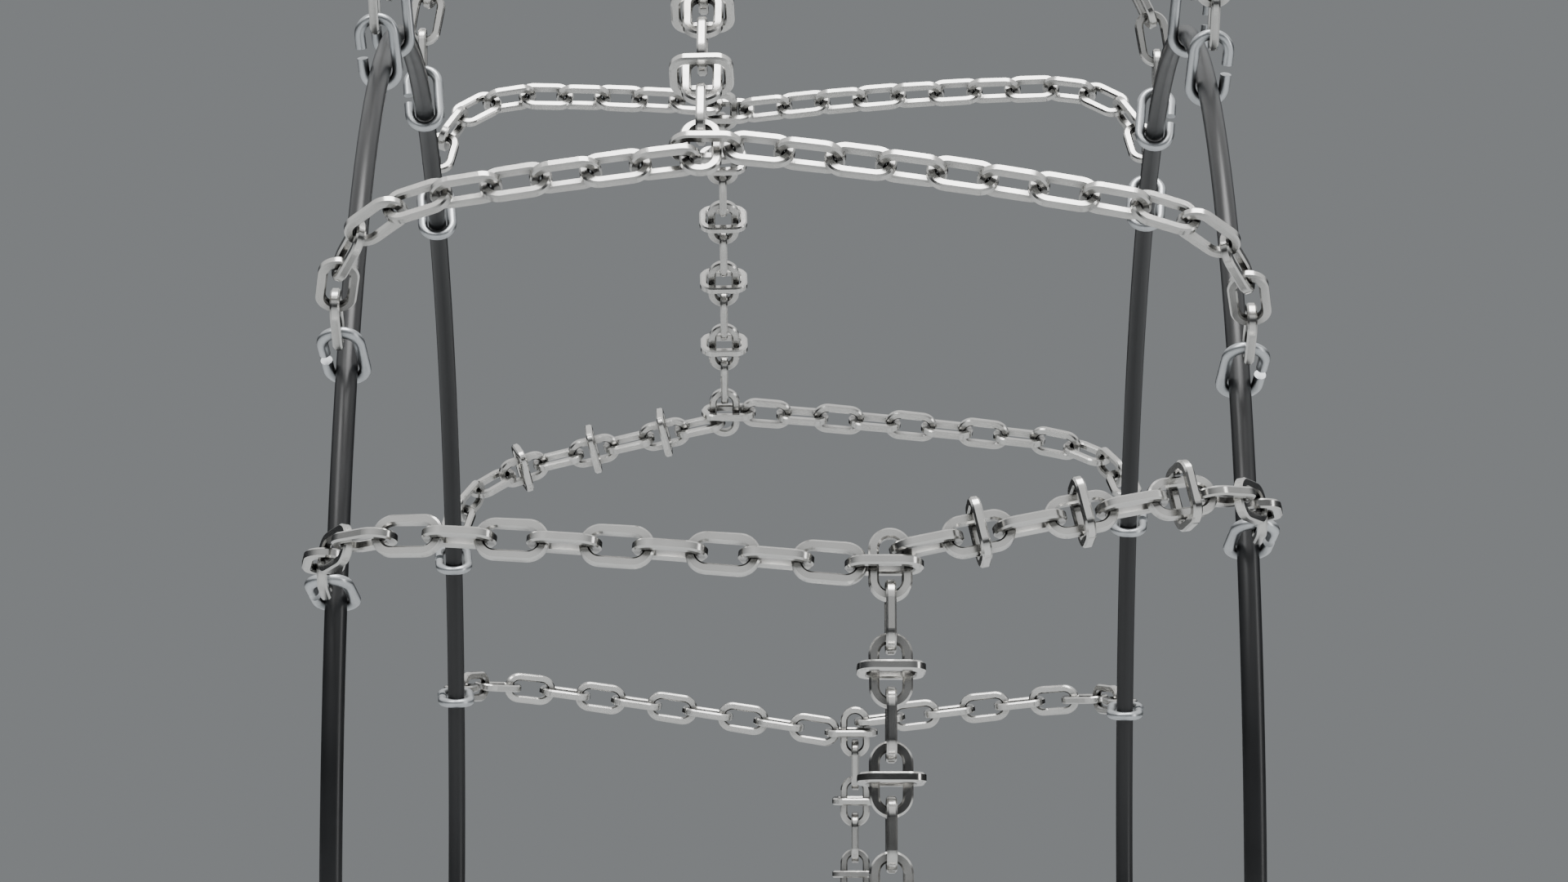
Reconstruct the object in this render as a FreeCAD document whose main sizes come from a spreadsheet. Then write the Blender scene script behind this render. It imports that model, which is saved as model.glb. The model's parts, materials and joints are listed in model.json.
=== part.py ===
import FreeCAD, Part
import math
import os

import Sketcher

# A snow chain for one road wheel, in the shape it has on the tyre.
# Frame: origin at the wheel's centre, +Y along the wheel's axis to the street side, +Z up.
# A place on the net is given by an angle about the axis, from +X towards +Z, and by the length
# "across" along the tyre's section, from the middle of the tread, positive to the street side.
# The net is a ladder of cross strands in pairs. Each pair is drawn together towards its middle,
# and a middle strand joins it to the next pair. Every flat link of the middle strands, and some
# of the cross strands, carries a grip ring.

doc = FreeCAD.newDocument("snow_chain")
sheet = doc.addObject("Spreadsheet::Sheet", "Sizes")

SIZES = [
    # the tyre that the chain is made for, 225/50 R17, as the chain touches it
    ("tyre_radius", 328.0),
    ("crown_radius", 900.0),
    ("crown_half", 92.0),
    ("shoulder_radius", 27.0),
    ("shoulder_turn", 78.0),
    ("sidewall_radius", 80.0),
    # the net's links and grip rings, all of one square wire
    ("wire", 2.6),
    ("wire_chamfer", "=wire / 5.2"),
    ("link_play", 1.6),
    ("link_width", "=3 * wire + 2 * link_play"),
    ("link_pitch", 13.6),
    ("link_gap", "=wire / 6.5"),
    ("ring_play", 0.5),
    ("ring_width", "=link_width + 2 * wire + 2 * ring_play"),
    ("ring_opening", 8.8),
    ("ring_height", "=ring_opening + 2 * wire"),
    ("ring_corner", 4.6),
    ("skin_gap", 0.1),
    ("ring_lift", "=ring_height / 2 + skin_gap - link_width / 2"),
    # the net's pattern: angles in degrees
    ("pairs", 8.0),
    ("first_pair_angle", 22.5),
    ("strand_links", 9.0),
    ("strand_offset", 24.4),
    ("strand_slack", 0.15),
    ("upper_short_lean", 3.6),
    ("upper_long_lean", 4.65),
    ("lower_short_lean", 5.86),
    ("lower_long_lean", 2.6),
    ("side_across", 159.0),
    ("cross_rings", 3.0),
    # side cables and the hooks that slide on them
    ("cable_dia", 6.0),
    ("hook_wire", 3.2),
    ("hook_play", 0.4),
    ("hook_reach", "=cable_dia + 8"),
    ("hook_mouth", 3.0),
    # closures: forks on the cables' ends, pins, and flat hooks that swing off the pins
    ("closure_angle", 269.0),
    ("pin_dia", 4.0),
    ("pin_head_dia", "=pin_dia + 2.5"),
    ("pin_head", 1.2),
    ("fork_thick", 2.0),
    ("fork_width", "=pin_dia + 6"),
    ("fork_throat", 9.0),
    ("fork_block", 3.5),
    ("ferrule_dia", "=cable_dia + 3"),
    ("ferrule_length", 10.0),
    ("plate_thick", 3.0),
    ("plate_width", "=pin_dia + 8"),
    ("plate_reach", 22.0),
    ("slot_play", 1.3),
    ("wind", 5.6),
    ("slot_back", 6.5),
    ("slot_turn", 35.0),
    ("clearance", 0.3),
    # ratchet tensioner on the street side
    ("tensioner_angle", 271.1),
    ("cord_dia", 2.4),
    ("cord_run", 26.0),
    ("cord_ferrule_length", 8.0),
    ("cord_ferrule_dia", "=cord_dia + 3.2"),
    ("drum_radius", 9.0),
    ("flange_radius", "=drum_radius + cord_dia + 0.8"),
    ("flange_thick", 0.8),
    ("groove_width", "=cord_dia + 0.6"),
    ("wheel_radius", "=flange_radius + 0.8"),
    ("wheel_thick", 2.8),
    ("tooth_depth", 1.6),
    ("teeth", 24.0),
    ("axle_dia", 5.0),
    ("hub_dia", "=axle_dia + 4"),
    ("pawl_pin_dia", 2.4),
    ("pawl_pin_radius", "=wheel_radius + 3.8"),
    ("pawl_pin_angle", 80.0),
    ("pawl_lift", 8.0),
    ("tail_half", 1.3),
    ("tail_angle", 38.0),
    ("tail_margin", 14.0),
    ("spring_leaf", 0.4),
    ("case_radius", "=wheel_radius + 9"),
    ("case_wall", 2.0),
    ("case_floor", 1.5),
    ("case_height", "=groove_width + 2 * flange_thick + wheel_thick + case_floor + 2.6"),
    ("cover_thick", 2.0),
    ("tab_reach", "=case_radius + 6"),
    ("knob_radius", 15.0),
    ("knob_height", 8.0),
    ("knob_flutes", 12.0),
    ("flute_radius", 2.4),
    ("screw_dia", 2.0),
    ("screw_head_dia", "=screw_dia + 1.6"),
    ("screw_head", 1.0),
    ("screw_stop", 3.0),
    ("post_wall", 1.2),
]
for row, (alias, value) in enumerate(SIZES, start=1):
    sheet.set(f"A{row}", alias)
    sheet.set(f"B{row}", str(value))
    sheet.setAlias(f"B{row}", alias)
doc.recompute()


def size(alias):
    """The number in the sheet's cell of that name."""
    return float(sheet.get(alias))


def bind(obj, **places):
    """Ties properties of obj to expressions over the sheet."""
    for prop, expression in places.items():
        obj.setExpression(prop, expression)
    return obj


V = FreeCAD.Vector
ORIGIN = V(0, 0, 0)
AXLE = V(0, 1, 0)
TURN = 360.0

# ---------------------------------------------------------------- the tyre's section

WIRE = size("wire")
PITCH = size("link_pitch")
GAP = size("link_gap")
LINK_WIDTH = size("link_width")
LINK_INNER = PITCH + GAP
OFFSET = LINK_WIDTH / 2


def section(across, offset=OFFSET):
    """(radius, y, slope) of the line that lies offset outside the tyre's skin.

    slope is how far the skin's normal leans from the radius.
    """
    sign = 1.0 if across >= 0 else -1.0
    left = abs(across)
    crown, shoulder, wall = size("crown_radius"), size("shoulder_radius"), size("sidewall_radius")
    edge = math.asin(size("crown_half") / crown)
    turned = math.radians(size("shoulder_turn"))
    crown_run = (crown + OFFSET) * edge
    shoulder_run = (shoulder + OFFSET) * (turned - edge)
    y, radius = 0.0, size("tyre_radius") - crown
    if left <= crown_run:
        bend, slope = crown, left / (crown + OFFSET)
    else:
        y += (crown - shoulder) * math.sin(edge)
        radius += (crown - shoulder) * math.cos(edge)
        if left <= crown_run + shoulder_run:
            bend, slope = shoulder, edge + (left - crown_run) / (shoulder + OFFSET)
        else:
            y += (shoulder - wall) * math.sin(turned)
            radius += (shoulder - wall) * math.cos(turned)
            bend, slope = wall, turned + (left - crown_run - shoulder_run) / (wall + OFFSET)
    return (
        radius + (bend + offset) * math.cos(slope),
        sign * (y + (bend + offset) * math.sin(slope)),
        sign * slope,
    )


def radial(angle):
    return V(math.cos(angle), 0, math.sin(angle))


def tangent(angle):
    return V(-math.sin(angle), 0, math.cos(angle))


def place(angle, across, offset=OFFSET):
    """The point over the tyre at that angle and length across."""
    radius, y, _ = section(across, offset)
    return radial(angle) * radius + AXLE * y


def normal(angle, across):
    """The tyre's outward normal there."""
    slope = section(across)[2]
    return radial(angle) * math.cos(slope) + AXLE * math.sin(slope)


# ---------------------------------------------------------------- frames for links


def frame(origin, along, up):
    """A placement with its X on along and its Z near up."""
    x = V(along).normalize()
    z = (up - x * up.dot(x)).normalize()
    y = z.cross(x)
    matrix = FreeCAD.Matrix(
        x.x, y.x, z.x, origin.x, x.y, y.y, z.y, origin.y, x.z, y.z, z.z, origin.z, 0, 0, 0, 1
    )
    return FreeCAD.Placement(matrix)


ON_EDGE = FreeCAD.Placement(ORIGIN, FreeCAD.Rotation(V(1, 0, 0), 90))
ACROSS_LINK = FreeCAD.Placement(ORIGIN, FreeCAD.Rotation(V(0, 1, 0), 90))


# ---------------------------------------------------------------- sketches


def body(name):
    return doc.addObject("PartDesign::Body", name)


def sketch(owner, name, plane):
    made = owner.newObject("Sketcher::SketchObject", name)
    base = next(f for f in owner.Origin.OriginFeatures if f.Role == plane)
    made.AttachmentSupport = [(base, "")]
    made.MapMode = "FlatFace"
    return made


def size_constraint(made, name, expression, start, kind, *where):
    """Adds a sketch dimension that begins at start and then follows the expression."""
    index = made.addConstraint(Sketcher.Constraint(kind, *where, start))
    made.renameConstraint(index, name)
    made.setExpression(f"Constraints.{name}", expression)


def oval(made, name, centres, radius, half_run, half_width):
    """A closed oval about the sketch's origin: its arcs' centres are centres apart, on X."""
    first = made.GeometryCount
    up = V(0, 0, 1)
    made.addGeometry(Part.LineSegment(V(-half_run, half_width, 0), V(half_run, half_width, 0)), False)
    right = Part.Circle(V(half_run, 0, 0), up, half_width)
    made.addGeometry(Part.ArcOfCircle(right, -math.pi / 2, math.pi / 2), False)
    made.addGeometry(Part.LineSegment(V(half_run, -half_width, 0), V(-half_run, -half_width, 0)), False)
    left = Part.Circle(V(-half_run, 0, 0), up, half_width)
    made.addGeometry(Part.ArcOfCircle(left, math.pi / 2, 3 * math.pi / 2), False)
    top, east, low, west = range(first, first + 4)
    made.addConstraint(Sketcher.Constraint("Tangent", top, 2, east, 2))
    made.addConstraint(Sketcher.Constraint("Tangent", east, 1, low, 1))
    made.addConstraint(Sketcher.Constraint("Tangent", low, 2, west, 2))
    made.addConstraint(Sketcher.Constraint("Tangent", west, 1, top, 1))
    made.addConstraint(Sketcher.Constraint("Horizontal", top))
    made.addConstraint(Sketcher.Constraint("Symmetric", west, 3, east, 3, -1, 1))
    size_constraint(made, name + "_run", centres, 2 * half_run, "DistanceX", west, 3, east, 3)
    size_constraint(made, name + "_radius", radius, half_width, "Radius", east)


def round_rectangle(made, name, run_x, run_y, corner, half_run_x, half_run_y, radius):
    """A closed rectangle about the sketch's origin; its round corners' centres are run_x and run_y apart."""
    first = made.GeometryCount
    up = V(0, 0, 1)
    x, y = half_run_x, half_run_y
    wide, high = x + radius, y + radius
    quarter = math.pi / 2
    made.addGeometry(Part.LineSegment(V(-x, high, 0), V(x, high, 0)), False)
    made.addGeometry(Part.ArcOfCircle(Part.Circle(V(x, y, 0), up, radius), 0, quarter), False)
    made.addGeometry(Part.LineSegment(V(wide, y, 0), V(wide, -y, 0)), False)
    made.addGeometry(Part.ArcOfCircle(Part.Circle(V(x, -y, 0), up, radius), -quarter, 0), False)
    made.addGeometry(Part.LineSegment(V(x, -high, 0), V(-x, -high, 0)), False)
    made.addGeometry(
        Part.ArcOfCircle(Part.Circle(V(-x, -y, 0), up, radius), 2 * quarter, 3 * quarter), False
    )
    made.addGeometry(Part.LineSegment(V(-wide, -y, 0), V(-wide, y, 0)), False)
    made.addGeometry(Part.ArcOfCircle(Part.Circle(V(-x, y, 0), up, radius), quarter, 2 * quarter), False)
    top, north_east, east, south_east, low, south_west, west, north_west = range(first, first + 8)
    joined = (
        (top, 2, north_east, 2),
        (north_east, 1, east, 1),
        (east, 2, south_east, 2),
        (south_east, 1, low, 1),
        (low, 2, south_west, 2),
        (south_west, 1, west, 1),
        (west, 2, north_west, 2),
        (north_west, 1, top, 1),
    )
    for pair in joined:
        made.addConstraint(Sketcher.Constraint("Tangent", *pair))
    made.addConstraint(Sketcher.Constraint("Horizontal", top))
    made.addConstraint(Sketcher.Constraint("Symmetric", north_east, 3, south_west, 3, -1, 1))
    for other in (south_east, south_west):
        made.addConstraint(Sketcher.Constraint("Equal", north_east, other))
    size_constraint(made, name + "_wide", run_x, 2 * x, "DistanceX", south_west, 3, north_east, 3)
    size_constraint(made, name + "_high", run_y, 2 * y, "DistanceY", south_west, 3, north_east, 3)
    size_constraint(made, name + "_corner", corner, radius, "Radius", north_east)


def pad(owner, profile, length):
    made = owner.newObject("PartDesign::Pad", profile.Name + "_pad")
    made.Profile = profile
    made.Midplane = True
    bind(made, Length=length)
    doc.recompute()
    return made


def chamfer_rims(owner, padded, half, cut):
    """Chamfers every edge that lies in a padded piece's two flat faces."""
    names = []
    for index, edge in enumerate(padded.Shape.Edges, start=1):
        if abs(abs(edge.CenterOfMass.z) - half) < 1e-6:
            names.append(f"Edge{index}")
    made = owner.newObject("PartDesign::Chamfer", padded.Name + "_chamfer")
    made.Base = (padded, names)
    bind(made, Size=cut)
    doc.recompute()


def link(name, inner, width):
    """A closed link of square wire in the XY plane, its length along X; inner is its opening's length."""
    owner = body(name)
    outline = sketch(owner, name + "_outline", "XY_Plane")
    centres = f"({inner}) + 2 * Sizes.wire - ({width})"
    half_width = size("link_width") / 2
    oval(outline, "outer", centres, f"({width}) / 2", PITCH / 3, half_width)
    oval(outline, "inner", centres, f"({width}) / 2 - Sizes.wire", PITCH / 3, half_width - WIRE)
    chamfer_rims(owner, pad(owner, outline, "Sizes.wire"), WIRE / 2, "Sizes.wire_chamfer")
    return owner


def grip_ring():
    """A ring in the XY plane, its height along X and its width along Y."""
    owner = body("grip_ring")
    outline = sketch(owner, "grip_ring_outline", "XY_Plane")
    corner = size("ring_corner")
    half_high, half_wide = size("ring_height") / 2 - corner, size("ring_width") / 2 - corner
    high = "Sizes.ring_height - 2 * Sizes.ring_corner"
    wide = "Sizes.ring_width - 2 * Sizes.ring_corner"
    round_rectangle(outline, "outer", high, wide, "Sizes.ring_corner", half_high, half_wide, corner)
    inner_corner = "Sizes.ring_corner - Sizes.wire"
    round_rectangle(outline, "inner", high, wide, inner_corner, half_high, half_wide, corner - WIRE)
    chamfer_rims(owner, pad(owner, outline, "Sizes.wire"), WIRE / 2, "Sizes.wire_chamfer")
    return owner


plain_link = link("plain_link", "Sizes.link_pitch + Sizes.link_gap", "Sizes.link_width")
saddle_link = link(
    "saddle_link", "Sizes.link_width + Sizes.wire + 3 * Sizes.link_gap", "Sizes.link_width"
)
ring_shape = grip_ring()
doc.recompute()

# ---------------------------------------------------------------- simple solids, bound to the sheet


def cylinder(name, radius, height, base=ORIGIN, axis=V(0, 0, 1)):
    made = doc.addObject("Part::Cylinder", name)
    bind(made, Radius=radius, Height=height)
    made.Placement = FreeCAD.Placement(base, FreeCAD.Rotation(V(0, 0, 1), axis))
    return made


def centred_box(name, length, width, height, low_x):
    """A box from low_x on along X, and centred on Y and Z."""
    made = doc.addObject("Part::Box", name)
    bind(made, Length=length, Width=width, Height=height)
    made.setExpression("Placement.Base.x", low_x)
    made.setExpression("Placement.Base.y", f"0 - ({width}) / 2")
    made.setExpression("Placement.Base.z", f"0 - ({height}) / 2")
    return made


def centred_cylinder(name, radius, height, at_x="0"):
    """A cylinder about Z at that X, centred on Z."""
    made = cylinder(name, radius, height)
    made.setExpression("Placement.Base.x", at_x)
    made.setExpression("Placement.Base.z", f"0 - ({height}) / 2")
    return made


def half_ring(name, radius, wire, centre, start):
    """Half a torus about Z in the XY plane, from the angle start on."""
    made = doc.addObject("Part::Torus", name)
    bind(made, Radius1=radius, Radius2=wire)
    made.Angle3 = TURN / 2
    made.Placement = FreeCAD.Placement(centre, FreeCAD.Rotation(V(0, 0, 1), start))
    return made


def fuse(name, pieces):
    made = doc.addObject("Part::MultiFuse", name)
    made.Shapes = pieces
    made.Refine = True
    return made


def cut(name, base, tools):
    joined = tools[0] if len(tools) == 1 else fuse(name + "_tools", tools)
    made = doc.addObject("Part::Cut", name)
    made.Base = base
    made.Tool = joined
    made.Refine = True
    return made


nodes = []


def keep(made, label, placement=None):
    """Makes an object a sub-part of the finished chain."""
    if placement is not None:
        made.Placement = placement.multiply(made.Placement)
    made.Label = label
    nodes.append(made)
    return made


def copies(label, placed):
    """A sub-part made of copies of other objects' shapes, each at its placement."""
    shapes = []
    for master, placement in placed:
        shape = master.Shape.copy()
        shape.Placement = placement.multiply(shape.Placement)
        shapes.append(shape)
    made = doc.addObject("Part::Feature", label)
    made.Shape = shapes[0] if len(shapes) == 1 else Part.makeCompound(shapes)
    made.Label = label
    nodes.append(made)
    return made


# ---------------------------------------------------------------- the net's layout

PAIRS = int(size("pairs"))
STRAND_LINKS = int(size("strand_links"))
STRAND_PITCHES = STRAND_LINKS + 1
STRAND_OFFSET = size("strand_offset")
TREAD_RADIUS = section(STRAND_OFFSET)[0]
PITCH_TURN = 2 * math.asin(PITCH / 2 / TREAD_RADIUS)
STRAND_TURN = STRAND_PITCHES * PITCH_TURN
PAIR_TURN = 2 * math.pi / PAIRS
HALF_GAP = (PAIR_TURN - STRAND_TURN) / 2
ACROSS = size("side_across")
RING_RISE = size("ring_lift")


def link_at(start, end, up, on_edge):
    """The placement of a link between two joints."""
    pose = frame((start + end) / 2, end - start, up)
    return pose.multiply(ON_EDGE) if on_edge else pose


def ring_at(start, end, up):
    """The placement of a grip ring around the flat link between two joints."""
    pose = frame((start + end) / 2 + up * RING_RISE, end - start, up)
    return pose.multiply(ACROSS_LINK)


def leg_point(start, finish, along):
    """The point at a share of the way from start to finish, each (angle, across)."""
    angle = start[0] + (finish[0] - start[0]) * along
    across = start[1] + (finish[1] - start[1]) * along
    return place(angle, across), normal(angle, across)


def leg_joints(start, finish, even):
    """Joints spread evenly by chord from start to finish; the count of links between them is even or odd."""
    steps = 400
    length = 0.0
    last = leg_point(start, finish, 0)[0]
    for step in range(1, steps + 1):
        point = leg_point(start, finish, step / steps)[0]
        length += (point - last).Length
        last = point
    count = math.ceil(length / (PITCH + GAP / 4))
    if (count % 2 == 0) != even:
        count += 1
    low, high = length / count * 0.9, length / count * 1.01
    for _ in range(40):
        spacing = (low + high) / 2
        shares = [0.0]
        while len(shares) <= count and shares[-1] < 1.0:
            shares.append(next_share(start, finish, shares[-1], spacing))
        if len(shares) <= count or shares[count] >= 1.0:
            high = spacing
        else:
            low = spacing
    joints = [leg_point(start, finish, share) for share in shares[:count]]
    joints.append(leg_point(start, finish, 1.0))
    return joints


def next_share(start, finish, share, spacing):
    """The share of the way at which a chord of that spacing ends."""
    origin = leg_point(start, finish, share)[0]
    low, high = share, share + 0.5
    for _ in range(36):
        middle = (low + high) / 2
        if (leg_point(start, finish, middle)[0] - origin).Length < spacing:
            low = middle
        else:
            high = middle
    return low


def junction_frame(angle, side):
    """A junction link's placement: X up the tread, on the strand's line."""
    point = place(angle, side * STRAND_OFFSET)
    return frame(point, tangent(angle), normal(angle, side * STRAND_OFFSET))


# A short leg's first link stands on edge around the junction link's side bar, near the bar's end.
BAR_HOLD = (size("link_width") - WIRE) / 2 - WIRE / 2
SHORT_START = BAR_HOLD - GAP / 2
SHORT_RISE = (LINK_INNER + 2 * WIRE - LINK_WIDTH) / 2
# The saddle link stands on edge around the whole junction link, and reaches further to its far side.
SADDLE_LENGTH = LINK_WIDTH + WIRE + 3 * GAP
SADDLE_CENTRE = LINK_WIDTH / 2 + GAP - SADDLE_LENGTH / 2
SADDLE_REACH = SADDLE_LENGTH / 2 - SADDLE_CENTRE - GAP / 2

LEANS = {
    ("upper", "short"): -math.radians(size("upper_short_lean")),
    ("upper", "long"): -math.radians(size("upper_long_lean")),
    ("lower", "short"): math.radians(size("lower_short_lean")),
    ("lower", "long"): math.radians(size("lower_long_lean")),
}


def leg(angle, side, level, kind):
    """One cross strand's leg: its links' and rings' placements, and its hook's side and angle.

    side is the side of the tread that the junction link lies on. A short leg goes to that side, and a
    long leg crosses the tread to the other one, from the saddle link.
    """
    up = 1.0 if level == "lower" else -1.0
    finish_angle = angle + LEANS[level, kind]
    if kind == "short":
        start = (angle + up * SHORT_RISE / TREAD_RADIUS, side * (STRAND_OFFSET + SHORT_START))
        finish = (finish_angle, side * ACROSS)
    else:
        start = (angle, side * (STRAND_OFFSET - SADDLE_REACH))
        finish = (finish_angle, -side * ACROSS)
    joints = leg_joints(start, finish, kind == "short")
    links, rings = [], []
    for index in range(len(joints) - 1):
        (first, first_up), (second, second_up) = joints[index], joints[index + 1]
        mean_up = (first_up + second_up).normalize()
        on_edge = (index % 2 == 0) == (kind == "short")
        links.append(link_at(first, second, mean_up, on_edge))
        if kind == "short" and level == "lower" and not on_edge and len(rings) < size("cross_rings"):
            rings.append(ring_at(first, second, mean_up))
    return {"links": links, "rings": rings, "hook": (math.copysign(1.0, finish[1]), finish_angle)}


def strand(angle, side):
    """A middle strand down the tread from the junction link at that angle: link and ring placements."""
    joints = []
    tight = 2 * math.asin((PITCH + size("strand_slack")) / 2 / TREAD_RADIUS)
    for step in range(STRAND_PITCHES):
        turn = angle - 0.5 * PITCH_TURN - step * tight
        joints.append((place(turn, side * STRAND_OFFSET), normal(turn, side * STRAND_OFFSET)))
    links, rings = [], []
    for index in range(STRAND_LINKS):
        (first, first_up), (second, second_up) = joints[index], joints[index + 1]
        mean_up = (first_up + second_up).normalize()
        on_edge = index % 2 == 0
        links.append(link_at(first, second, mean_up, on_edge))
        if not on_edge:
            rings.append(ring_at(first, second, mean_up))
    return links, rings


# ---------------------------------------------------------------- links, rings and legs

hook_angles = {1.0: [], -1.0: []}
leg_rings_elsewhere = []
for pair in range(PAIRS):
    centre_angle = math.radians(size("first_pair_angle")) + pair * PAIR_TURN
    side = -1.0 if pair % 2 == 0 else 1.0
    ends = {"upper": (centre_angle + HALF_GAP, side), "lower": (centre_angle - HALF_GAP, -side)}
    strand_links, strand_rings = strand(ends["lower"][0], -side)
    net = []
    for level, (angle, at) in ends.items():
        junction = junction_frame(angle, at)
        saddle_pose = frame(
            place(angle, at * (STRAND_OFFSET + SADDLE_CENTRE)), AXLE, normal(angle, at * STRAND_OFFSET)
        ).multiply(ON_EDGE)
        short = leg(angle, at, level, "short")
        long = leg(angle, at, level, "long")
        for made in (short, long):
            hook_side, hook_angle = made["hook"]
            hook_angles[hook_side].append(hook_angle)
        if pair == 0:
            copies(f"{level}_junction_link", [(plain_link, junction)])
            copies(f"{level}_short_leg", [(plain_link, pose) for pose in short["links"]])
            crossing = [(saddle_link, saddle_pose)] + [(plain_link, pose) for pose in long["links"]]
            copies(f"{level}_long_leg", crossing)
            for number, pose in enumerate(short["rings"], start=1):
                copies(f"cross_ring_{number}", [(ring_shape, pose)])
        else:
            net += [(plain_link, junction), (saddle_link, saddle_pose)]
            net += [(plain_link, pose) for pose in short["links"] + long["links"]]
            leg_rings_elsewhere += [(ring_shape, pose) for pose in short["rings"]]
    if pair == 0:
        for number, pose in enumerate(strand_links, start=1):
            copies(f"middle_link_{number}", [(plain_link, pose)])
        for number, pose in enumerate(strand_rings, start=1):
            copies(f"middle_ring_{number}", [(ring_shape, pose)])
    else:
        copies(f"net_{pair + 1}", net + [(plain_link, pose) for pose in strand_links])
        copies(f"middle_rings_{pair + 1}", [(ring_shape, pose) for pose in strand_rings])
copies("cross_rings", leg_rings_elsewhere)

# ---------------------------------------------------------------- side cables

CABLE_RADIUS = size("cable_dia") / 2
side_radius, side_y, side_slope = section(ACROSS)
REACH = size("hook_reach")
CABLE_TURN = side_radius - REACH * math.sin(side_slope)
CABLE_Y = side_y + REACH * math.cos(side_slope)

# Hook in the XY plane: its end on the leg's last joint at the origin, the cable's centre at X = reach.
END_WIRE = "(Sizes.hook_wire / 2)"
BEND = "((Sizes.cable_dia + Sizes.hook_wire) / 2 + Sizes.hook_play)"
hook_wire = size("hook_wire") / 2
bend = CABLE_RADIUS + hook_wire + size("hook_play")
leg_wire_x = -(GAP / 2 + hook_wire)
near_arc = leg_wire_x + bend
straight = REACH - near_arc
stub = (straight - size("hook_mouth")) / 2
NEAR_ARC = f"(0 - Sizes.link_gap / 2 - {END_WIRE} + {BEND})"
STRAIGHT = f"(Sizes.hook_reach - {NEAR_ARC})"
STUB = f"(({STRAIGHT} - Sizes.hook_mouth) / 2)"
along = V(1, 0, 0)
cable_hook = fuse(
    "cable_hook",
    [
        half_ring("hook_leg_end", BEND, END_WIRE, V(near_arc, 0, 0), 90),
        half_ring("hook_cable_end", BEND, END_WIRE, V(REACH, 0, 0), -90),
        cylinder("hook_back", END_WIRE, STRAIGHT, V(near_arc, -bend, 0), along),
        cylinder("hook_leg_stub", END_WIRE, STUB, V(near_arc, bend, 0), along),
        cylinder("hook_cable_stub", END_WIRE, STUB, V(REACH - stub, bend, 0), along),
    ],
)
doc.recompute()


def hook_pose(side, angle):
    """A hook lies in the plane of its leg's radius and the wheel's axis, with its mouth outwards."""
    inward = radial(angle) * -math.sin(side_slope) + AXLE * side * math.cos(side_slope)
    outward = radial(angle) * math.cos(side_slope) + AXLE * side * math.sin(side_slope)
    return frame(place(angle, side * ACROSS), inward, inward.cross(outward))


for side, name in ((-1.0, "inner_hooks"), (1.0, "outer_hooks")):
    copies(name, [(cable_hook, hook_pose(side, angle)) for angle in hook_angles[side]])

# ---------------------------------------------------------------- closures

CLEAR = size("clearance")
PLATE = size("plate_thick")
THROAT = size("fork_throat")
BLOCK = size("fork_block")
FERRULE = size("ferrule_length")
FORK_RUN = THROAT + BLOCK + FERRULE
FORK_DEPTH = "(Sizes.plate_thick + 2 * Sizes.clearance + 2 * Sizes.fork_thick)"


def fork(name, throat, ferrule_dia, ferrule_length):
    """A fork with its pin hole about Z at the origin, its ferrule's end towards -X."""
    arm_length = f"({throat} + Sizes.fork_block)"
    arms = centred_box(name + "_arms", arm_length, "Sizes.fork_width", FORK_DEPTH, f"0 - {arm_length}")
    nose = centred_cylinder(name + "_nose", "Sizes.fork_width / 2", FORK_DEPTH)
    ferrule = cylinder(name + "_ferrule", f"{ferrule_dia} / 2", ferrule_length, ORIGIN, V(-1, 0, 0))
    ferrule.setExpression("Placement.Base.x", f"0 - {arm_length}")
    opening = "Sizes.plate_thick + 2 * Sizes.clearance"
    run = f"{throat} + Sizes.fork_width"
    gap = centred_box(name + "_gap", run, "2 * Sizes.fork_width", opening, f"0 - {throat}")
    hole = centred_cylinder(name + "_hole", "Sizes.pin_dia / 2", f"2 * {FORK_DEPTH}")
    return cut(name, fuse(name + "_blank", [arms, nose, ferrule]), [gap, hole])


def pin(name):
    """A headed pin through a fork, about Z: its shank fills the fork's holes."""
    shank = centred_cylinder(name + "_shank", "Sizes.pin_dia / 2", FORK_DEPTH)
    top = cylinder(name + "_top", "Sizes.pin_head_dia / 2", "Sizes.pin_head")
    top.setExpression("Placement.Base.z", f"{FORK_DEPTH} / 2")
    low = cylinder(name + "_low", "Sizes.pin_head_dia / 2", "Sizes.pin_head")
    low.setExpression("Placement.Base.z", f"0 - {FORK_DEPTH} / 2 - Sizes.pin_head")
    return fuse(name, [shank, top, low])


def flat_hook(name):
    """A flat hook, pivoting about Z at the origin; its slot is an arc about that pivot, open at -Y."""
    thick, through = "Sizes.plate_thick", "3 * Sizes.plate_thick"
    tip_x = "0 - Sizes.plate_reach"
    blank = [
        centred_box(name + "_plate", "Sizes.plate_reach", "Sizes.plate_width", thick, tip_x),
        centred_cylinder(name + "_pivot_end", "Sizes.plate_width / 2", thick),
        centred_cylinder(name + "_tip_end", "Sizes.plate_width / 2", thick, tip_x),
    ]
    hole = centred_cylinder(name + "_hole", "Sizes.pin_dia / 2 + Sizes.clearance / 3", through)
    sweep = []
    for rim, radius in (
        ("outer", "Sizes.plate_reach + Sizes.pin_dia / 2 + Sizes.slot_play"),
        ("inner", "Sizes.plate_reach - Sizes.pin_dia / 2 - Sizes.clearance"),
    ):
        sector = doc.addObject("Part::Cylinder", f"{name}_{rim}_sector")
        bind(sector, Radius=radius, Height=through, Angle="Sizes.slot_turn + Sizes.slot_back")
        start = FreeCAD.Rotation(V(0, 0, 1), TURN / 2 - size("slot_back"))
        sector.Placement = FreeCAD.Placement(V(0, 0, -1.5 * PLATE), start)
        sweep.append(sector)
    slot = doc.addObject("Part::Cut", name + "_slot")
    slot.Base, slot.Tool = sweep
    return cut(name, fuse(name + "_blank", blank), [hole, slot])


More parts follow.
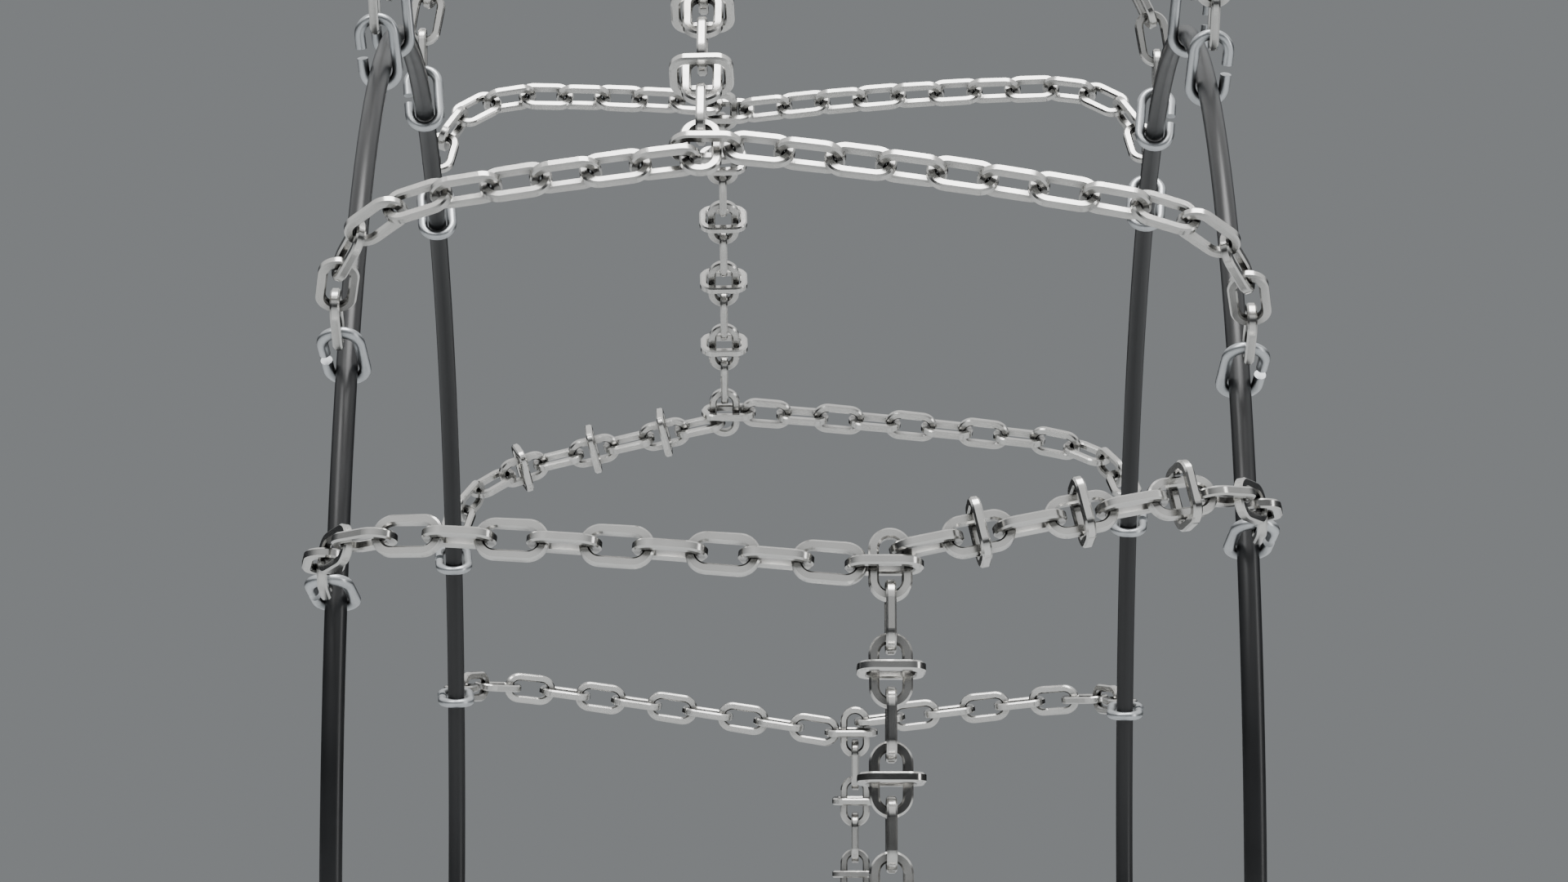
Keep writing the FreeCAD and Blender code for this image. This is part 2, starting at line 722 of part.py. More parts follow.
def cable(name, side, gap_angle, half_gap):
    """An open hoop of cable, with its gap about that angle."""
    made = doc.addObject("Part::Torus", name)
    made.Radius1 = CABLE_TURN
    bind(made, Radius2="Sizes.cable_dia / 2")
    made.Angle3 = TURN - 2 * math.degrees(half_gap)
    # the torus turns about its own Z from its own X, which here goes the way of a growing angle
    made.Placement = frame(AXLE * (side * CABLE_Y), radial(gap_angle + half_gap), AXLE * -1)
    keep(made, name)


def end_fork_pose(side, angle, way):
    """The pose of a fork's pin: its ferrule's end meets the cable's end; way is the angle's sense."""
    toward_gap = tangent(angle) * way
    spot = radial(angle) * CABLE_TURN + AXLE * (side * CABLE_Y) + toward_gap * FORK_RUN
    return frame(spot, toward_gap, AXLE * side)


def half_gap_for(distance):
    """Half the hoop's gap that leaves that distance between the two forks' pins."""
    return math.asin(distance / 2 / math.hypot(CABLE_TURN, FORK_RUN)) + math.atan(FORK_RUN / CABLE_TURN)


# The inner closure: two forks, a pin in each, and the flat hook between them.
inner_angle = math.radians(size("closure_angle"))
PLATE_REACH = size("plate_reach")
inner_half = half_gap_for(PLATE_REACH)
cable("inner_cable", -1.0, inner_angle, inner_half)
pivot_pose = end_fork_pose(-1.0, inner_angle + inner_half, -1.0)
catch_pose = end_fork_pose(-1.0, inner_angle - inner_half, 1.0)
fork_shape = fork("cable_fork", "Sizes.fork_throat", "Sizes.ferrule_dia", "Sizes.ferrule_length")
pin_shape = pin("fork_pin")
hook_shape = flat_hook("closing_hook")
doc.recompute()
copies("inner_forks", [(fork_shape, pivot_pose), (fork_shape, catch_pose)])
copies("inner_fork_pins", [(pin_shape, pivot_pose), (pin_shape, catch_pose)])


def hook_between(pivot, catch):
    """The flat hook's pose: its pivot at the one pin, its slot on the other, its mouth to the axle."""
    line = pivot - catch
    return frame(pivot, line, AXLE * -1 if line.cross(pivot).dot(AXLE) > 0 else AXLE)


copies("inner_hook", [(hook_shape, hook_between(pivot_pose.Base, catch_pose.Base))])

# ---------------------------------------------------------------- tensioner

# Its own frame: Z along the wheel's axis to the street, X along the force from the catch to the
# case's tab, and the case's centre off that line by the cord's turn on the drum.
CASE_FLOOR = size("case_floor")
FLANGE = size("flange_thick")
GROOVE = size("groove_width")
RUN_CLEAR = CLEAR * 0.6
FLOOR_Z = -(GROOVE / 2 + FLANGE + RUN_CLEAR + CASE_FLOOR)
CORD_RADIUS = size("cord_dia") / 2
CORD_OFFSET = size("drum_radius") + CORD_RADIUS
CASE_R = size("case_radius")
TAB = size("tab_reach")
CORD_RUN = size("cord_run")
CORD_FORK_RUN = THROAT + BLOCK + size("cord_ferrule_length")
pins_apart = TAB + CORD_RUN + CORD_FORK_RUN + PLATE_REACH
outer_angle = math.radians(size("tensioner_angle"))
outer_half = half_gap_for(pins_apart)
cable("outer_cable", 1.0, outer_angle, outer_half)
case_fork_pose = end_fork_pose(1.0, outer_angle + outer_half, -1.0)
catch_fork_pose = end_fork_pose(1.0, outer_angle - outer_half, 1.0)
copies("outer_forks", [(fork_shape, case_fork_pose), (fork_shape, catch_fork_pose)])
copies("outer_fork_pins", [(pin_shape, case_fork_pose), (pin_shape, catch_fork_pose)])
force = case_fork_pose.Base - catch_fork_pose.Base
tensioner = frame(case_fork_pose.Base, force, AXLE)
CASE_X, CASE_Y = -TAB, CORD_OFFSET


def at_case(x, y, z=0.0):
    """A point in the tensioner's frame, from the case's centre."""
    return V(CASE_X + x, CASE_Y + y, z)


def in_case(made, label):
    return keep(made, label, tensioner)


WALL_TOP = FLOOR_Z + size("case_height")
SCREW_CIRCLE = CASE_R - size("case_wall") - size("screw_head_dia") / 2
PAWL_ANGLE = math.radians(size("pawl_pin_angle"))
# the four screws keep clear of the cord's way in, at 180 degrees or more, and of the pawl
SCREW_ANGLES = [math.radians(angle) for angle in (10.0, 170.0, 250.0, 310.0)]
TAIL_MARGIN = math.radians(size("tail_margin"))
PAWL_LIFT = math.radians(size("pawl_lift"))
TAIL_HALF = size("tail_half")
WHEEL_Z = GROOVE / 2 + FLANGE
WHEEL_THICK = size("wheel_thick")
KNOB_Z = WALL_TOP + size("cover_thick") + CLEAR


def case_point(radius, angle, z=0.0):
    return at_case(radius * math.cos(angle), radius * math.sin(angle), z)


pawl_pin_at = case_point(size("pawl_pin_radius"), PAWL_ANGLE)
tail_spot = case_point(TAB, math.radians(size("tail_angle")))
TAIL_TURN = math.atan2(tail_spot.y - pawl_pin_at.y, tail_spot.x - pawl_pin_at.x)


def make_case():
    shell = cylinder("case_shell", "Sizes.case_radius", "Sizes.case_height", at_case(0, 0, FLOOR_Z))
    thick = "Sizes.plate_thick"
    tab = centred_box("case_tab", "Sizes.tab_reach", "Sizes.fork_width", thick, "0 - Sizes.tab_reach")
    nose = centred_cylinder("case_tab_nose", "Sizes.fork_width / 2", thick)
    blank = fuse("case_blank", [shell, tab, nose])
    room_radius = "Sizes.case_radius - Sizes.case_wall"
    room_foot = at_case(0, 0, FLOOR_Z + CASE_FLOOR)
    room = cylinder("case_room", room_radius, "Sizes.case_height", room_foot)
    bore = "Sizes.pin_dia / 2 + Sizes.clearance / 3"
    tab_hole = centred_cylinder("case_tab_hole", bore, "3 * Sizes.plate_thick")
    mouth_radius = "Sizes.cord_dia / 2 + Sizes.clearance"
    mouth = cylinder("case_mouth", mouth_radius, "Sizes.case_radius", V(CASE_X, 0, 0), V(-1, 0, 0))
    window = doc.addObject("Part::Feature", "case_pawl_window")
    reach = 2 * CASE_R
    swing = [TAIL_TURN + TAIL_MARGIN, TAIL_TURN - PAWL_LIFT - TAIL_MARGIN]
    corners = [pawl_pin_at] + [pawl_pin_at + V(math.cos(a), math.sin(a), 0) * reach for a in swing]
    fan = Part.Face(Part.makePolygon(corners + corners[:1]))
    window.Shape = fan.extrude(V(0, 0, WHEEL_THICK + 2 * CLEAR))
    window.Placement = FreeCAD.Placement(V(0, 0, WHEEL_Z - CLEAR), FreeCAD.Rotation())
    hollow = cut("case_hollow", blank, [room, tab_hole, mouth, window])
    posts = []
    for number, angle in enumerate(SCREW_ANGLES):
        foot = case_point(SCREW_CIRCLE, angle, FLOOR_Z)
        post_radius = "Sizes.screw_dia / 2 + Sizes.post_wall"
        posts.append(cylinder(f"case_post_{number}", post_radius, "Sizes.case_height", foot))
    filled = fuse("case_filled", [hollow] + posts)
    holes = []
    for number, angle in enumerate(SCREW_ANGLES):
        foot = case_point(SCREW_CIRCLE, angle, FLOOR_Z + CASE_FLOOR)
        holes.append(cylinder(f"case_hole_{number}", "Sizes.screw_dia / 2", "Sizes.case_height", foot))
    through = "3 * Sizes.case_floor"
    below = V(0, 0, FLOOR_Z - CASE_FLOOR)
    axle_hole = cylinder("case_axle_hole", "Sizes.axle_dia / 2", through, at_case(0, 0) + below)
    pawl_hole = cylinder("case_pawl_hole", "Sizes.pawl_pin_dia / 2", through, pawl_pin_at + below)
    return cut("case", filled, holes + [axle_hole, pawl_hole])


in_case(make_case(), "tensioner_case")


def make_cover():
    plate = cylinder("cover_plate", "Sizes.case_radius", "Sizes.cover_thick", at_case(0, 0, WALL_TOP))
    through = "3 * Sizes.cover_thick"
    below = WALL_TOP - size("cover_thick")
    hub_hole = "Sizes.hub_dia / 2 + Sizes.clearance"
    pin_hole = "Sizes.pawl_pin_dia / 2"
    openings = [
        cylinder("cover_hub_hole", hub_hole, through, at_case(0, 0, below)),
        cylinder("cover_pawl_hole", pin_hole, through, pawl_pin_at + V(0, 0, below)),
    ]
    for number, angle in enumerate(SCREW_ANGLES):
        foot = case_point(SCREW_CIRCLE, angle, below)
        openings.append(cylinder(f"cover_hole_{number}", "Sizes.screw_dia / 2", through, foot))
    return cut("cover", plate, openings)


in_case(make_cover(), "tensioner_cover")


def make_screw():
    depth = "Sizes.case_height + Sizes.cover_thick - Sizes.screw_stop"
    shank = cylinder("screw_shank", "Sizes.screw_dia / 2", depth)
    shank.setExpression("Placement.Base.z", f"0 - ({depth})")
    top = cylinder("screw_top", "Sizes.screw_head_dia / 2", "Sizes.screw_head")
    drive = cylinder("screw_drive", "Sizes.screw_head_dia / 5", "Sizes.screw_head")
    drive.setExpression("Placement.Base.z", "Sizes.screw_head / 2")
    return cut("screw", fuse("screw_blank", [shank, top]), [drive])


screw_shape = make_screw()
doc.recompute()
screws = []
for angle in SCREW_ANGLES:
    spot = case_point(SCREW_CIRCLE, angle, WALL_TOP + size("cover_thick"))
    screws.append((screw_shape, tensioner.multiply(FreeCAD.Placement(spot, FreeCAD.Rotation()))))
copies("cover_screws", screws)

# the play of the reel and the pawl on their pins
RUN = CLEAR / 6
AXLE_LENGTH = f"{KNOB_Z - FLOOR_Z} + Sizes.knob_height"
in_case(cylinder("axle_rod", "Sizes.axle_dia / 2", AXLE_LENGTH, at_case(0, 0, FLOOR_Z)), "drum_axle")
PAWL_PIN_LENGTH = "Sizes.case_height + Sizes.cover_thick"
pawl_pin_foot = pawl_pin_at + V(0, 0, FLOOR_Z)
in_case(cylinder("pawl_rod", "Sizes.pawl_pin_dia / 2", PAWL_PIN_LENGTH, pawl_pin_foot), "pawl_pin")


def make_drum():
    """The drum with its two flanges and the hub that carries the wheel and the knob."""
    base = FLOOR_Z + CASE_FLOOR + RUN_CLEAR
    rim, thick = "Sizes.flange_radius", "Sizes.flange_thick"
    hub_length = f"{KNOB_Z - base} + Sizes.knob_height / 2"
    blank = [
        cylinder("drum_low_flange", rim, thick, at_case(0, 0, base)),
        cylinder("drum_core", "Sizes.drum_radius", "Sizes.groove_width", at_case(0, 0, base + FLANGE)),
        cylinder("drum_high_flange", rim, thick, at_case(0, 0, base + FLANGE + GROOVE)),
        cylinder("drum_hub", "Sizes.hub_dia / 2", hub_length, at_case(0, 0, base)),
    ]
    bore = cylinder("drum_bore", AXLE_BORE, BORE_LENGTH, at_case(0, 0, base - CASE_R))
    return cut("drum", fuse("drum_blank", blank), [bore])


AXLE_BORE = f"Sizes.axle_dia / 2 + {RUN}"
BORE_LENGTH = "3 * Sizes.case_radius"
in_case(make_drum(), "cord_drum")


def make_wheel():
    """The ratchet wheel: each tooth has one radial face, against unwinding, and one long slope."""
    count = int(size("teeth"))
    outer, root = size("wheel_radius"), size("wheel_radius") - size("tooth_depth")
    points = []
    for tooth in range(count):
        turn = 2 * math.pi * tooth / count
        points.append(V(root * math.cos(turn), root * math.sin(turn), 0))
        points.append(V(outer * math.cos(turn), outer * math.sin(turn), 0))
    points.append(points[0])
    blank = Part.Face(Part.makePolygon(points)).extrude(V(0, 0, WHEEL_THICK))
    hub = Part.makeCylinder(size("hub_dia") / 2, 3 * WHEEL_THICK, V(0, 0, -WHEEL_THICK))
    made = doc.addObject("Part::Feature", "ratchet_wheel")
    made.Shape = blank.cut(hub)
    made.Placement = FreeCAD.Placement(at_case(0, 0, WHEEL_Z), FreeCAD.Rotation())
    return made


in_case(make_wheel(), "ratchet_wheel")


def make_pawl():
    """The pawl: an eye on its pin, a beak against a tooth's face and a tail out of the case's window."""
    made = doc.addObject("Part::Feature", "pawl")
    eye_radius = size("pawl_pin_dia") / 2 + 1.4
    base = V(pawl_pin_at.x, pawl_pin_at.y, WHEEL_Z)
    eye = Part.makeCylinder(eye_radius, WHEEL_THICK, base)
    outer, step = size("wheel_radius"), 2 * math.pi / size("teeth")
    face = step * math.ceil((PAWL_ANGLE + math.radians(36.0)) / step)
    bite = outer - size("tooth_depth") / 2
    beak_points = [
        case_point(bite, face - step * 0.08, WHEEL_Z),
        case_point(outer + CLEAR, face - step * 0.5, WHEEL_Z),
        case_point(outer + CLEAR * 2, face - step * 1.5, WHEEL_Z),
        base - V(0, eye_radius * 0.7, 0),
        base + V(0, eye_radius * 0.7, 0),
        case_point(outer + 3.4, face - step * 0.6, WHEEL_Z),
        case_point(outer + 2.0, face - step * 0.08, WHEEL_Z),
    ]
    beak = Part.Face(Part.makePolygon(beak_points + beak_points[:1])).extrude(V(0, 0, WHEEL_THICK))
    tail_end = V(tail_spot.x, tail_spot.y, WHEEL_Z)
    tail_side = V(-math.sin(TAIL_TURN), math.cos(TAIL_TURN), 0) * TAIL_HALF
    tail_points = [base + tail_side, tail_end + tail_side, tail_end - tail_side, base - tail_side]
    tail = Part.Face(Part.makePolygon(tail_points + tail_points[:1])).extrude(V(0, 0, WHEEL_THICK))
    thumb = Part.makeCylinder(2 * TAIL_HALF, WHEEL_THICK, tail_end)
    bore = Part.makeCylinder(size("pawl_pin_dia") / 2 + RUN, 3 * WHEEL_THICK, base - V(0, 0, WHEEL_THICK))
    made.Shape = eye.fuse([beak, tail, thumb]).cut(bore).removeSplitter()
    return made


in_case(make_pawl(), "release_pawl")
doc.recompute()


def make_knob():
    blank = cylinder("knob_blank", "Sizes.knob_radius", "Sizes.knob_height", at_case(0, 0, KNOB_Z))
    tools = []
    count = int(size("knob_flutes"))
    for flute in range(count):
        away = size("knob_radius") + size("flute_radius") / 2
        foot = case_point(away, 2 * math.pi * flute / count, KNOB_Z - size("knob_height"))
        tools.append(cylinder(f"knob_flute_{flute}", "Sizes.flute_radius", "3 * Sizes.knob_height", foot))
    socket = cylinder("knob_socket", "Sizes.hub_dia / 2", "Sizes.knob_height / 2", at_case(0, 0, KNOB_Z))
    bore = cylinder("knob_bore", AXLE_BORE, BORE_LENGTH, at_case(0, 0, KNOB_Z - CASE_R))
    return cut("knob", blank, tools + [socket, bore])


in_case(make_knob(), "tension_knob")


def make_wound_cord():
    """The turns of cord on the drum, as one sleeve."""
    outside = "Sizes.drum_radius + Sizes.cord_dia"
    turns = cylinder("wound_blank", outside, "Sizes.cord_dia", at_case(0, 0, -CORD_RADIUS))
    through = "3 * Sizes.cord_dia"
    inside = cylinder("wound_inside", "Sizes.drum_radius", through, at_case(0, 0, -3 * CORD_RADIUS))
    return cut("wound", turns, [inside])


in_case(make_wound_cord(), "wound_cord")

# The cord leaves the drum at its lowest point and runs straight to its own fork. The reel takes up
# as much of it as the closing hook's slot has play for.
WIND = math.radians(size("wind"))
CORD_PULL = WIND * CORD_OFFSET
WOUND_RADIUS = size("drum_radius") + size("cord_dia")
CORD_START = CASE_X - math.sqrt(WOUND_RADIUS**2 - size("drum_radius") ** 2) - CORD_PULL - CLEAR
CORD_END = CASE_X - CORD_RUN
cord = cylinder("cord", "Sizes.cord_dia / 2", "1.0", V(CORD_START, 0, 0), V(-1, 0, 0))
cord.setExpression("Height", f"{CORD_START - CASE_X} + Sizes.cord_run")
in_case(cord, "tension_cord")
cord_fork = fork("cord_end_fork", "Sizes.fork_throat", "Sizes.cord_ferrule_dia", "Sizes.cord_ferrule_length")
doc.recompute()
cord_pin_at = V(CORD_END - CORD_FORK_RUN, 0, 0)
cord_fork_pose = tensioner.multiply(frame(cord_pin_at, V(-1, 0, 0), V(0, 0, 1)))
copies("cord_fork", [(cord_fork, cord_fork_pose), (pin_shape, cord_fork_pose)])
hook_pivot = cord_fork_pose.Base
copies("outer_hook", [(hook_shape, hook_between(hook_pivot, catch_fork_pose.Base))])


def make_pawl_spring():
    """A leaf spring, bent once, from the case's wall to the back of the pawl's beak."""
    made = doc.addObject("Part::Feature", "leaf")
    leaf = size("spring_leaf")
    wall = CASE_R - size("case_wall")
    low = WHEEL_Z + CLEAR
    # angles about the case, past the pawl's pin: at the wall, at the bend, and at the beak
    foot_turn = PAWL_ANGLE + math.radians(72.0)
    heel_turn = PAWL_ANGLE + math.radians(58.0)
    tip_turn = PAWL_ANGLE + math.radians(31.0)
    tip_radius = size("wheel_radius") + 4.6
    outline = [
        case_point(tip_radius, tip_turn, low),
        case_point(wall - 3 * leaf, heel_turn, low),
        case_point(wall - 1.5 * leaf, foot_turn, low),
        case_point(wall - 0.5 * leaf, foot_turn, low),
        case_point(wall - 2 * leaf, heel_turn, low),
        case_point(tip_radius + leaf, tip_turn, low),
    ]
    face = Part.Face(Part.makePolygon(outline + outline[:1]))
    made.Shape = face.extrude(V(0, 0, WHEEL_THICK - 2 * CLEAR))
    return made


in_case(make_pawl_spring(), "pawl_spring")
doc.recompute()

# ---------------------------------------------------------------- check and write

for made in doc.Objects:
    if "Invalid" in made.State or "Error" in made.State:
        raise RuntimeError(f"{made.Name} did not build: {made.State}")
for made in nodes:
    if made.Shape.isNull() or not made.Shape.isValid() or not made.Shape.Solids:
        raise RuntimeError(f"{made.Label} has no valid solid")
os.makedirs("parts", exist_ok=True)
for made in nodes:
    made.Shape.exportStep(f"parts/{made.Label}.step")
print(len(nodes), "sub-parts,", sum(len(made.Shape.Solids) for made in nodes), "solids")
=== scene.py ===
import json
import math

import bpy
from mathutils import Matrix, Vector


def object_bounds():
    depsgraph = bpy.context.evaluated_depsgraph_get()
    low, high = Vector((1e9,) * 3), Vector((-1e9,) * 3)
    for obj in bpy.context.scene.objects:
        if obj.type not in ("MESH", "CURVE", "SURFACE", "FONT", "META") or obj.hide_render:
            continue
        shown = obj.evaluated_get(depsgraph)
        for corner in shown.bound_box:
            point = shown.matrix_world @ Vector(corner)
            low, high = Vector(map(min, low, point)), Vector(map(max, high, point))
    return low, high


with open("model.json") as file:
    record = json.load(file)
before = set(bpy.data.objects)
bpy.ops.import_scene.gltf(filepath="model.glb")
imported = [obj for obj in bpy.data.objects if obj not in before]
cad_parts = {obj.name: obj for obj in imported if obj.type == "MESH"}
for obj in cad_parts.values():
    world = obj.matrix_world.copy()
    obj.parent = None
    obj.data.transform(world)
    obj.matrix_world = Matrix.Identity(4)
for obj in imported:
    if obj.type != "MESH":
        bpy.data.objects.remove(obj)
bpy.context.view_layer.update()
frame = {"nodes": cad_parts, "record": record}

# The snow chain as it sits on a wheel: X towards the front of the tread, Y along the wheel's axis.

MM = 0.001
CORNER_MM = 5.0  # how far a corner's shade reaches, about twice the links' wire
STEEL_SKIN_MM = 0.02  # height of the grain on steel
MOULD_SKIN_MM = 0.04  # height of the spark-eroded grain on nylon and vinyl
SHEEN_SPREAD = 0.12  # how much a plastic's roughness wanders
FLOOR_SIZE = 30.0
nodes = frame["nodes"]


# ------------------------------------------------------------------ materials


def linear(code):
    """An sRGB hex colour as linear RGBA."""
    channels = [int(code[place : place + 2], 16) / 255 for place in (1, 3, 5)]
    bent = [c / 12.92 if c <= 0.04045 else ((c + 0.055) / 1.055) ** 2.4 for c in channels]
    return (*bent, 1.0)


def add(tree, kind, settings=None, stops=(), **inputs):
    """Adds a node, with its own settings, a ramp's (place, colour) stops, and values or outputs for its inputs.

    An input is named as its socket is, with _ for a space, or at0, at1 and so on for its place.
    """
    made = tree.nodes.new(kind)
    for name, value in (settings or {}).items():
        setattr(made, name, value)
    for _ in stops[2:]:
        made.color_ramp.elements.new(0.5)
    for number, (place, colour) in enumerate(stops):
        made.color_ramp.elements[number].position = place
        made.color_ramp.elements[number].color = colour
    for name, value in inputs.items():
        by_place = name.startswith("at") and name[2:].isdigit()
        socket = made.inputs[int(name[2:]) if by_place else name.replace("_", " ")]
        if isinstance(value, bpy.types.NodeSocket):
            tree.links.new(value, socket)
        else:
            socket.default_value = value
    return made


def grey(value):
    """A linear grey as RGBA."""
    return (value, value, value, 1.0)


def per_metre(size_mm):
    """The noise scale whose features are about that many millimetres across."""
    return 1 / (size_mm * MM)


def blank_material(name):
    """(material, its tree, object coordinates, shader node), the shader joined to the output."""
    made = bpy.data.materials.new(name)
    made.use_nodes = True
    tree = made.node_tree
    tree.nodes.clear()
    output = tree.nodes.new("ShaderNodeOutputMaterial")
    shader = tree.nodes.new("ShaderNodeBsdfPrincipled")
    tree.links.new(shader.outputs["BSDF"], output.inputs["Surface"])
    place = tree.nodes.new("ShaderNodeTexCoord").outputs["Object"]
    return made, tree, place, shader


def steel(name, light, dark, smooth, rough, grain_mm=0.35, bump=0.10, painted_shade_strength=0.85):
    """Bare or plated steel: an even satin sheen, fine grain, and painted shade that darkens the inner corners.
    """
    made, tree, place, shader = blank_material(name)
    cloud = add(tree, "ShaderNodeTexNoise", Vector=place, Scale=per_metre(12.0), Detail=2.0).outputs["Fac"]
    patches = add(tree, "ShaderNodeTexNoise", Vector=place, Scale=per_metre(4.0), Detail=3.0).outputs["Fac"]
    grain = add(tree, "ShaderNodeTexNoise", Vector=place, Scale=per_metre(grain_mm), Detail=4.0).outputs["Fac"]
    plain = {"data_type": "RGBA"}
    tint = add(tree, "ShaderNodeMix", plain, at0=cloud, at6=linear(dark), at7=linear(light)).outputs[2]
    # Painted shade: ambient occlusion darkens the base colour in inner corners and recesses, by up to the
    # painted shade strength.
    corner = add(tree, "ShaderNodeAmbientOcclusion", {"samples": 8}, Distance=CORNER_MM * MM).outputs["AO"]
    shade_stops = ((0.15, grey(1.0 - painted_shade_strength)), (0.90, grey(1.0)))
    shade = add(tree, "ShaderNodeValToRGB", stops=shade_stops, Fac=corner).outputs["Color"]
    multiplied = {"data_type": "RGBA", "blend_type": "MULTIPLY"}
    colour = add(tree, "ShaderNodeMix", multiplied, at0=1.0, at6=tint, at7=shade).outputs[2]
    tree.links.new(colour, shader.inputs["Base Color"])
    scaled = {"operation": "MULTIPLY_ADD"}
    sheen = add(tree, "ShaderNodeMath", scaled, at0=patches, at1=rough - smooth, at2=smooth)
    tree.links.new(sheen.outputs[0], shader.inputs["Roughness"])
    relief = add(tree, "ShaderNodeBump", Strength=bump, Distance=STEEL_SKIN_MM * MM, Height=grain)
    tree.links.new(relief.outputs["Normal"], shader.inputs["Normal"])
    shader.inputs["Metallic"].default_value = 1.0
    return made


def moulded(name, light, dark, roughness, grain_mm=0.35, bump=0.25):
    """Moulded plastic: an even colour with a fine spark-eroded grain and a slight sheen."""
    made, tree, place, shader = blank_material(name)
    cloud = add(tree, "ShaderNodeTexNoise", Vector=place, Scale=per_metre(14.0), Detail=3.0).outputs["Fac"]
    grain = add(tree, "ShaderNodeTexNoise", Vector=place, Scale=per_metre(grain_mm), Detail=2.0).outputs["Fac"]
    plain = {"data_type": "RGBA"}
    tint = add(tree, "ShaderNodeMix", plain, at0=cloud, at6=linear(dark), at7=linear(light)).outputs[2]
    tree.links.new(tint, shader.inputs["Base Color"])
    scaled = {"operation": "MULTIPLY_ADD"}
    lowest = roughness - SHEEN_SPREAD / 2
    sheen = add(tree, "ShaderNodeMath", scaled, at0=cloud, at1=SHEEN_SPREAD, at2=lowest)
    tree.links.new(sheen.outputs[0], shader.inputs["Roughness"])
    relief = add(tree, "ShaderNodeBump", Strength=bump, Distance=MOULD_SKIN_MM * MM, Height=grain)
    tree.links.new(relief.outputs["Normal"], shader.inputs["Normal"])
    return made


# Hardened alloy steel links, tumbled bright: pale and satin, glossier in random patches.
alloy_links = steel("tumbled_alloy_steel", "#CFCECB", "#B9B8B5", 0.17, 0.25)
# The grip rings are of the same wire, a touch brighter because they take the wear.
alloy_rings = steel("worn_alloy_steel", "#D6D5D2", "#C1C0BD", 0.15, 0.24)
# Zinc plating on the bent wire hooks: duller and a little blue.
zinc_wire = steel("zinc_plated_wire", "#CDD0D2", "#A3A7AA", 0.25, 0.42, 0.8)
# Zinc plated forgings: coarser skin.
zinc_forging = steel("zinc_plated_forging", "#C2C5C7", "#94989B", 0.28, 0.46, 1.2, 0.25)
# Turned steel pins, axle and screws.
turned_steel = steel("turned_steel", "#D5D3CE", "#A9A7A2", 0.18, 0.34, 0.4)
# Glass-filled nylon of the tensioner's case: near black, matt.
case_nylon = moulded("glass_filled_nylon", "#2A2C2F", "#1B1D1F", 0.52)
# Dyed nylon of the knob.
knob_nylon = moulded("dyed_nylon", "#C2321C", "#9E2412", 0.40)
# Extruded vinyl sheath of the side cables.
vinyl_sheath = moulded("vinyl_sheath", "#1D1E20", "#121314", 0.34, 1.5, 0.12)

FINISHES = {
    "link_steel": alloy_links,
    "ring_steel": alloy_rings,
    "cable_sheath": vinyl_sheath,
    "hook_steel": zinc_wire,
    "forged_steel": zinc_forging,
    "case_nylon": case_nylon,
    "knob_nylon": knob_nylon,
    "wire_cord": turned_steel,
    "pin_steel": turned_steel,
}
for part in frame["record"]["subparts"]:
    piece = nodes[part["node"]]
    piece.data.materials.clear()
    piece.data.materials.append(FINISHES[part["material_slot"]])

# ------------------------------------------------------------------ floor, light and camera

low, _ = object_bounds()
bpy.ops.object.select_all(action="DESELECT")
bpy.ops.mesh.primitive_plane_add(size=FLOOR_SIZE, location=(0, 0, low.z))
floor = bpy.context.object
floor.name = "floor"
floor_paint, _, _, floor_shader = blank_material("matt_floor_paint")
floor_shader.inputs["Base Color"].default_value = linear("#C6C8C9")
floor_shader.inputs["Roughness"].default_value = 0.75
floor.data.materials.append(floor_paint)

world = bpy.data.worlds.new("studio")
bpy.context.scene.world = world
world.use_nodes = True
sky = world.node_tree
sky.nodes.clear()
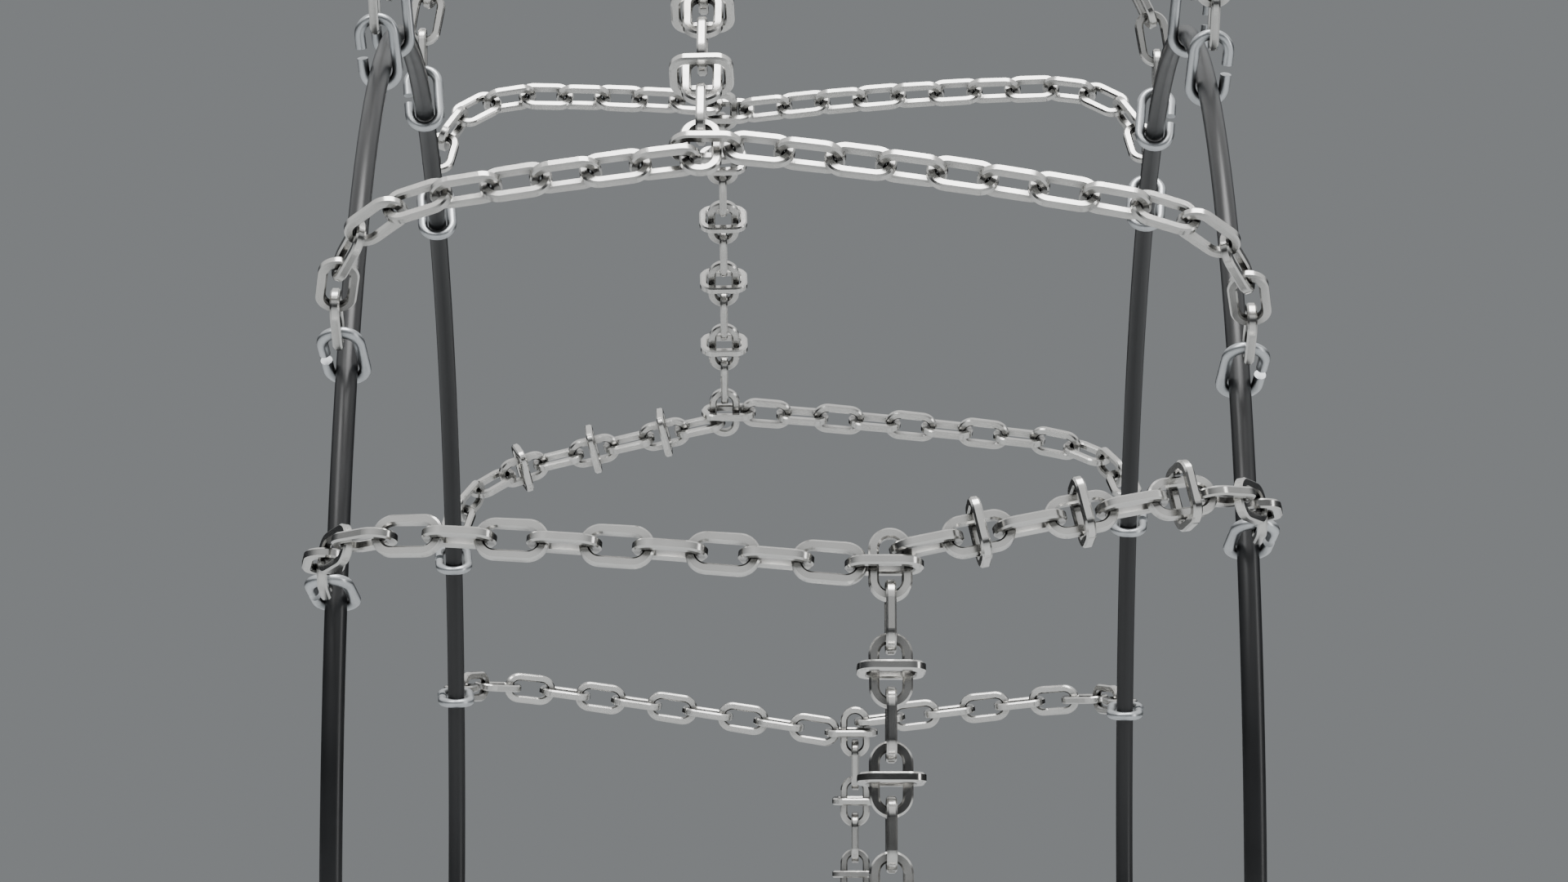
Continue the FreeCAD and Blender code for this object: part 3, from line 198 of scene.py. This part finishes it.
# A bright ceiling over a dim room, so that bright steel has something to mirror.
direction = add(sky, "ShaderNodeSeparateXYZ", Vector=sky.nodes.new("ShaderNodeTexCoord").outputs["Generated"])
rise = add(sky, "ShaderNodeMath", {"operation": "MULTIPLY_ADD"}, at0=direction.outputs["Z"], at1=0.5, at2=0.5)
room_tones = (
    (0.30, linear("#0B0B0C")),
    (0.55, linear("#141516")),
    (0.64, linear("#4A4C4F")),
    (0.74, linear("#E4E6E7")),
    (1.0, linear("#FFFFFF")),
)
room = add(sky, "ShaderNodeValToRGB", stops=room_tones, Fac=rise.outputs[0]).outputs["Color"]
dim_room = add(sky, "ShaderNodeBackground", Color=room, Strength=1.15)
# The plain grey wall that stands behind the chain.
wall = add(sky, "ShaderNodeBackground", Color=linear("#8F9294"), Strength=0.75)
seen = sky.nodes.new("ShaderNodeLightPath").outputs["Is Camera Ray"]
backdrop = add(
    sky, "ShaderNodeMixShader", at0=seen, at1=dim_room.outputs["Background"], at2=wall.outputs["Background"]
)
sky.links.new(backdrop.outputs["Shader"], sky.nodes.new("ShaderNodeOutputWorld").inputs["Surface"])


def softbox(name, place, aim, width, height, watts):
    """A rectangular area light at place, facing aim."""
    made = bpy.data.lights.new(name, "AREA")
    made.shape = "RECTANGLE"
    made.size, made.size_y = width, height
    made.energy = watts
    lamp = bpy.data.objects.new(name, made)
    bpy.context.scene.collection.objects.link(lamp)
    toward = Vector(aim) - Vector(place)
    lamp.matrix_world = Matrix.Translation(place) @ toward.to_track_quat("-Z", "Y").to_matrix().to_4x4()


softbox("key", (1.3, -1.0, 1.7), (0.3, 0.0, 0.1), 0.9, 0.6, 12)
softbox("top", (0.5, 0.2, 2.2), (0.2, 0.0, 0.1), 1.3, 1.3, 48)
softbox("side", (0.8, 2.0, 0.5), (0.3, 0.0, 0.1), 0.4, 1.4, 8)

# The camera stands in front of the tread, a little low, and looks slightly up it.
WHEEL_TURN = math.radians(-2.07)
CAMERA_REACH = 1.6335
CAMERA_SIDE = -0.0024
LOOK_UP = math.radians(4.83)
camera_data = bpy.data.cameras.new("camera")
camera_data.lens = 119.4
camera_data.sensor_width = 36.0
camera = bpy.data.objects.new("camera", camera_data)
bpy.context.scene.collection.objects.link(camera)
look = math.pi + WHEEL_TURN - LOOK_UP
forward = Vector((math.cos(look), 0.0, math.sin(look)))
camera.location = (CAMERA_REACH * math.cos(WHEEL_TURN), CAMERA_SIDE, CAMERA_REACH * math.sin(WHEEL_TURN))
camera.rotation_mode = "QUATERNION"
camera.rotation_quaternion = forward.to_track_quat("-Z", "Y")
bpy.context.scene.camera = camera
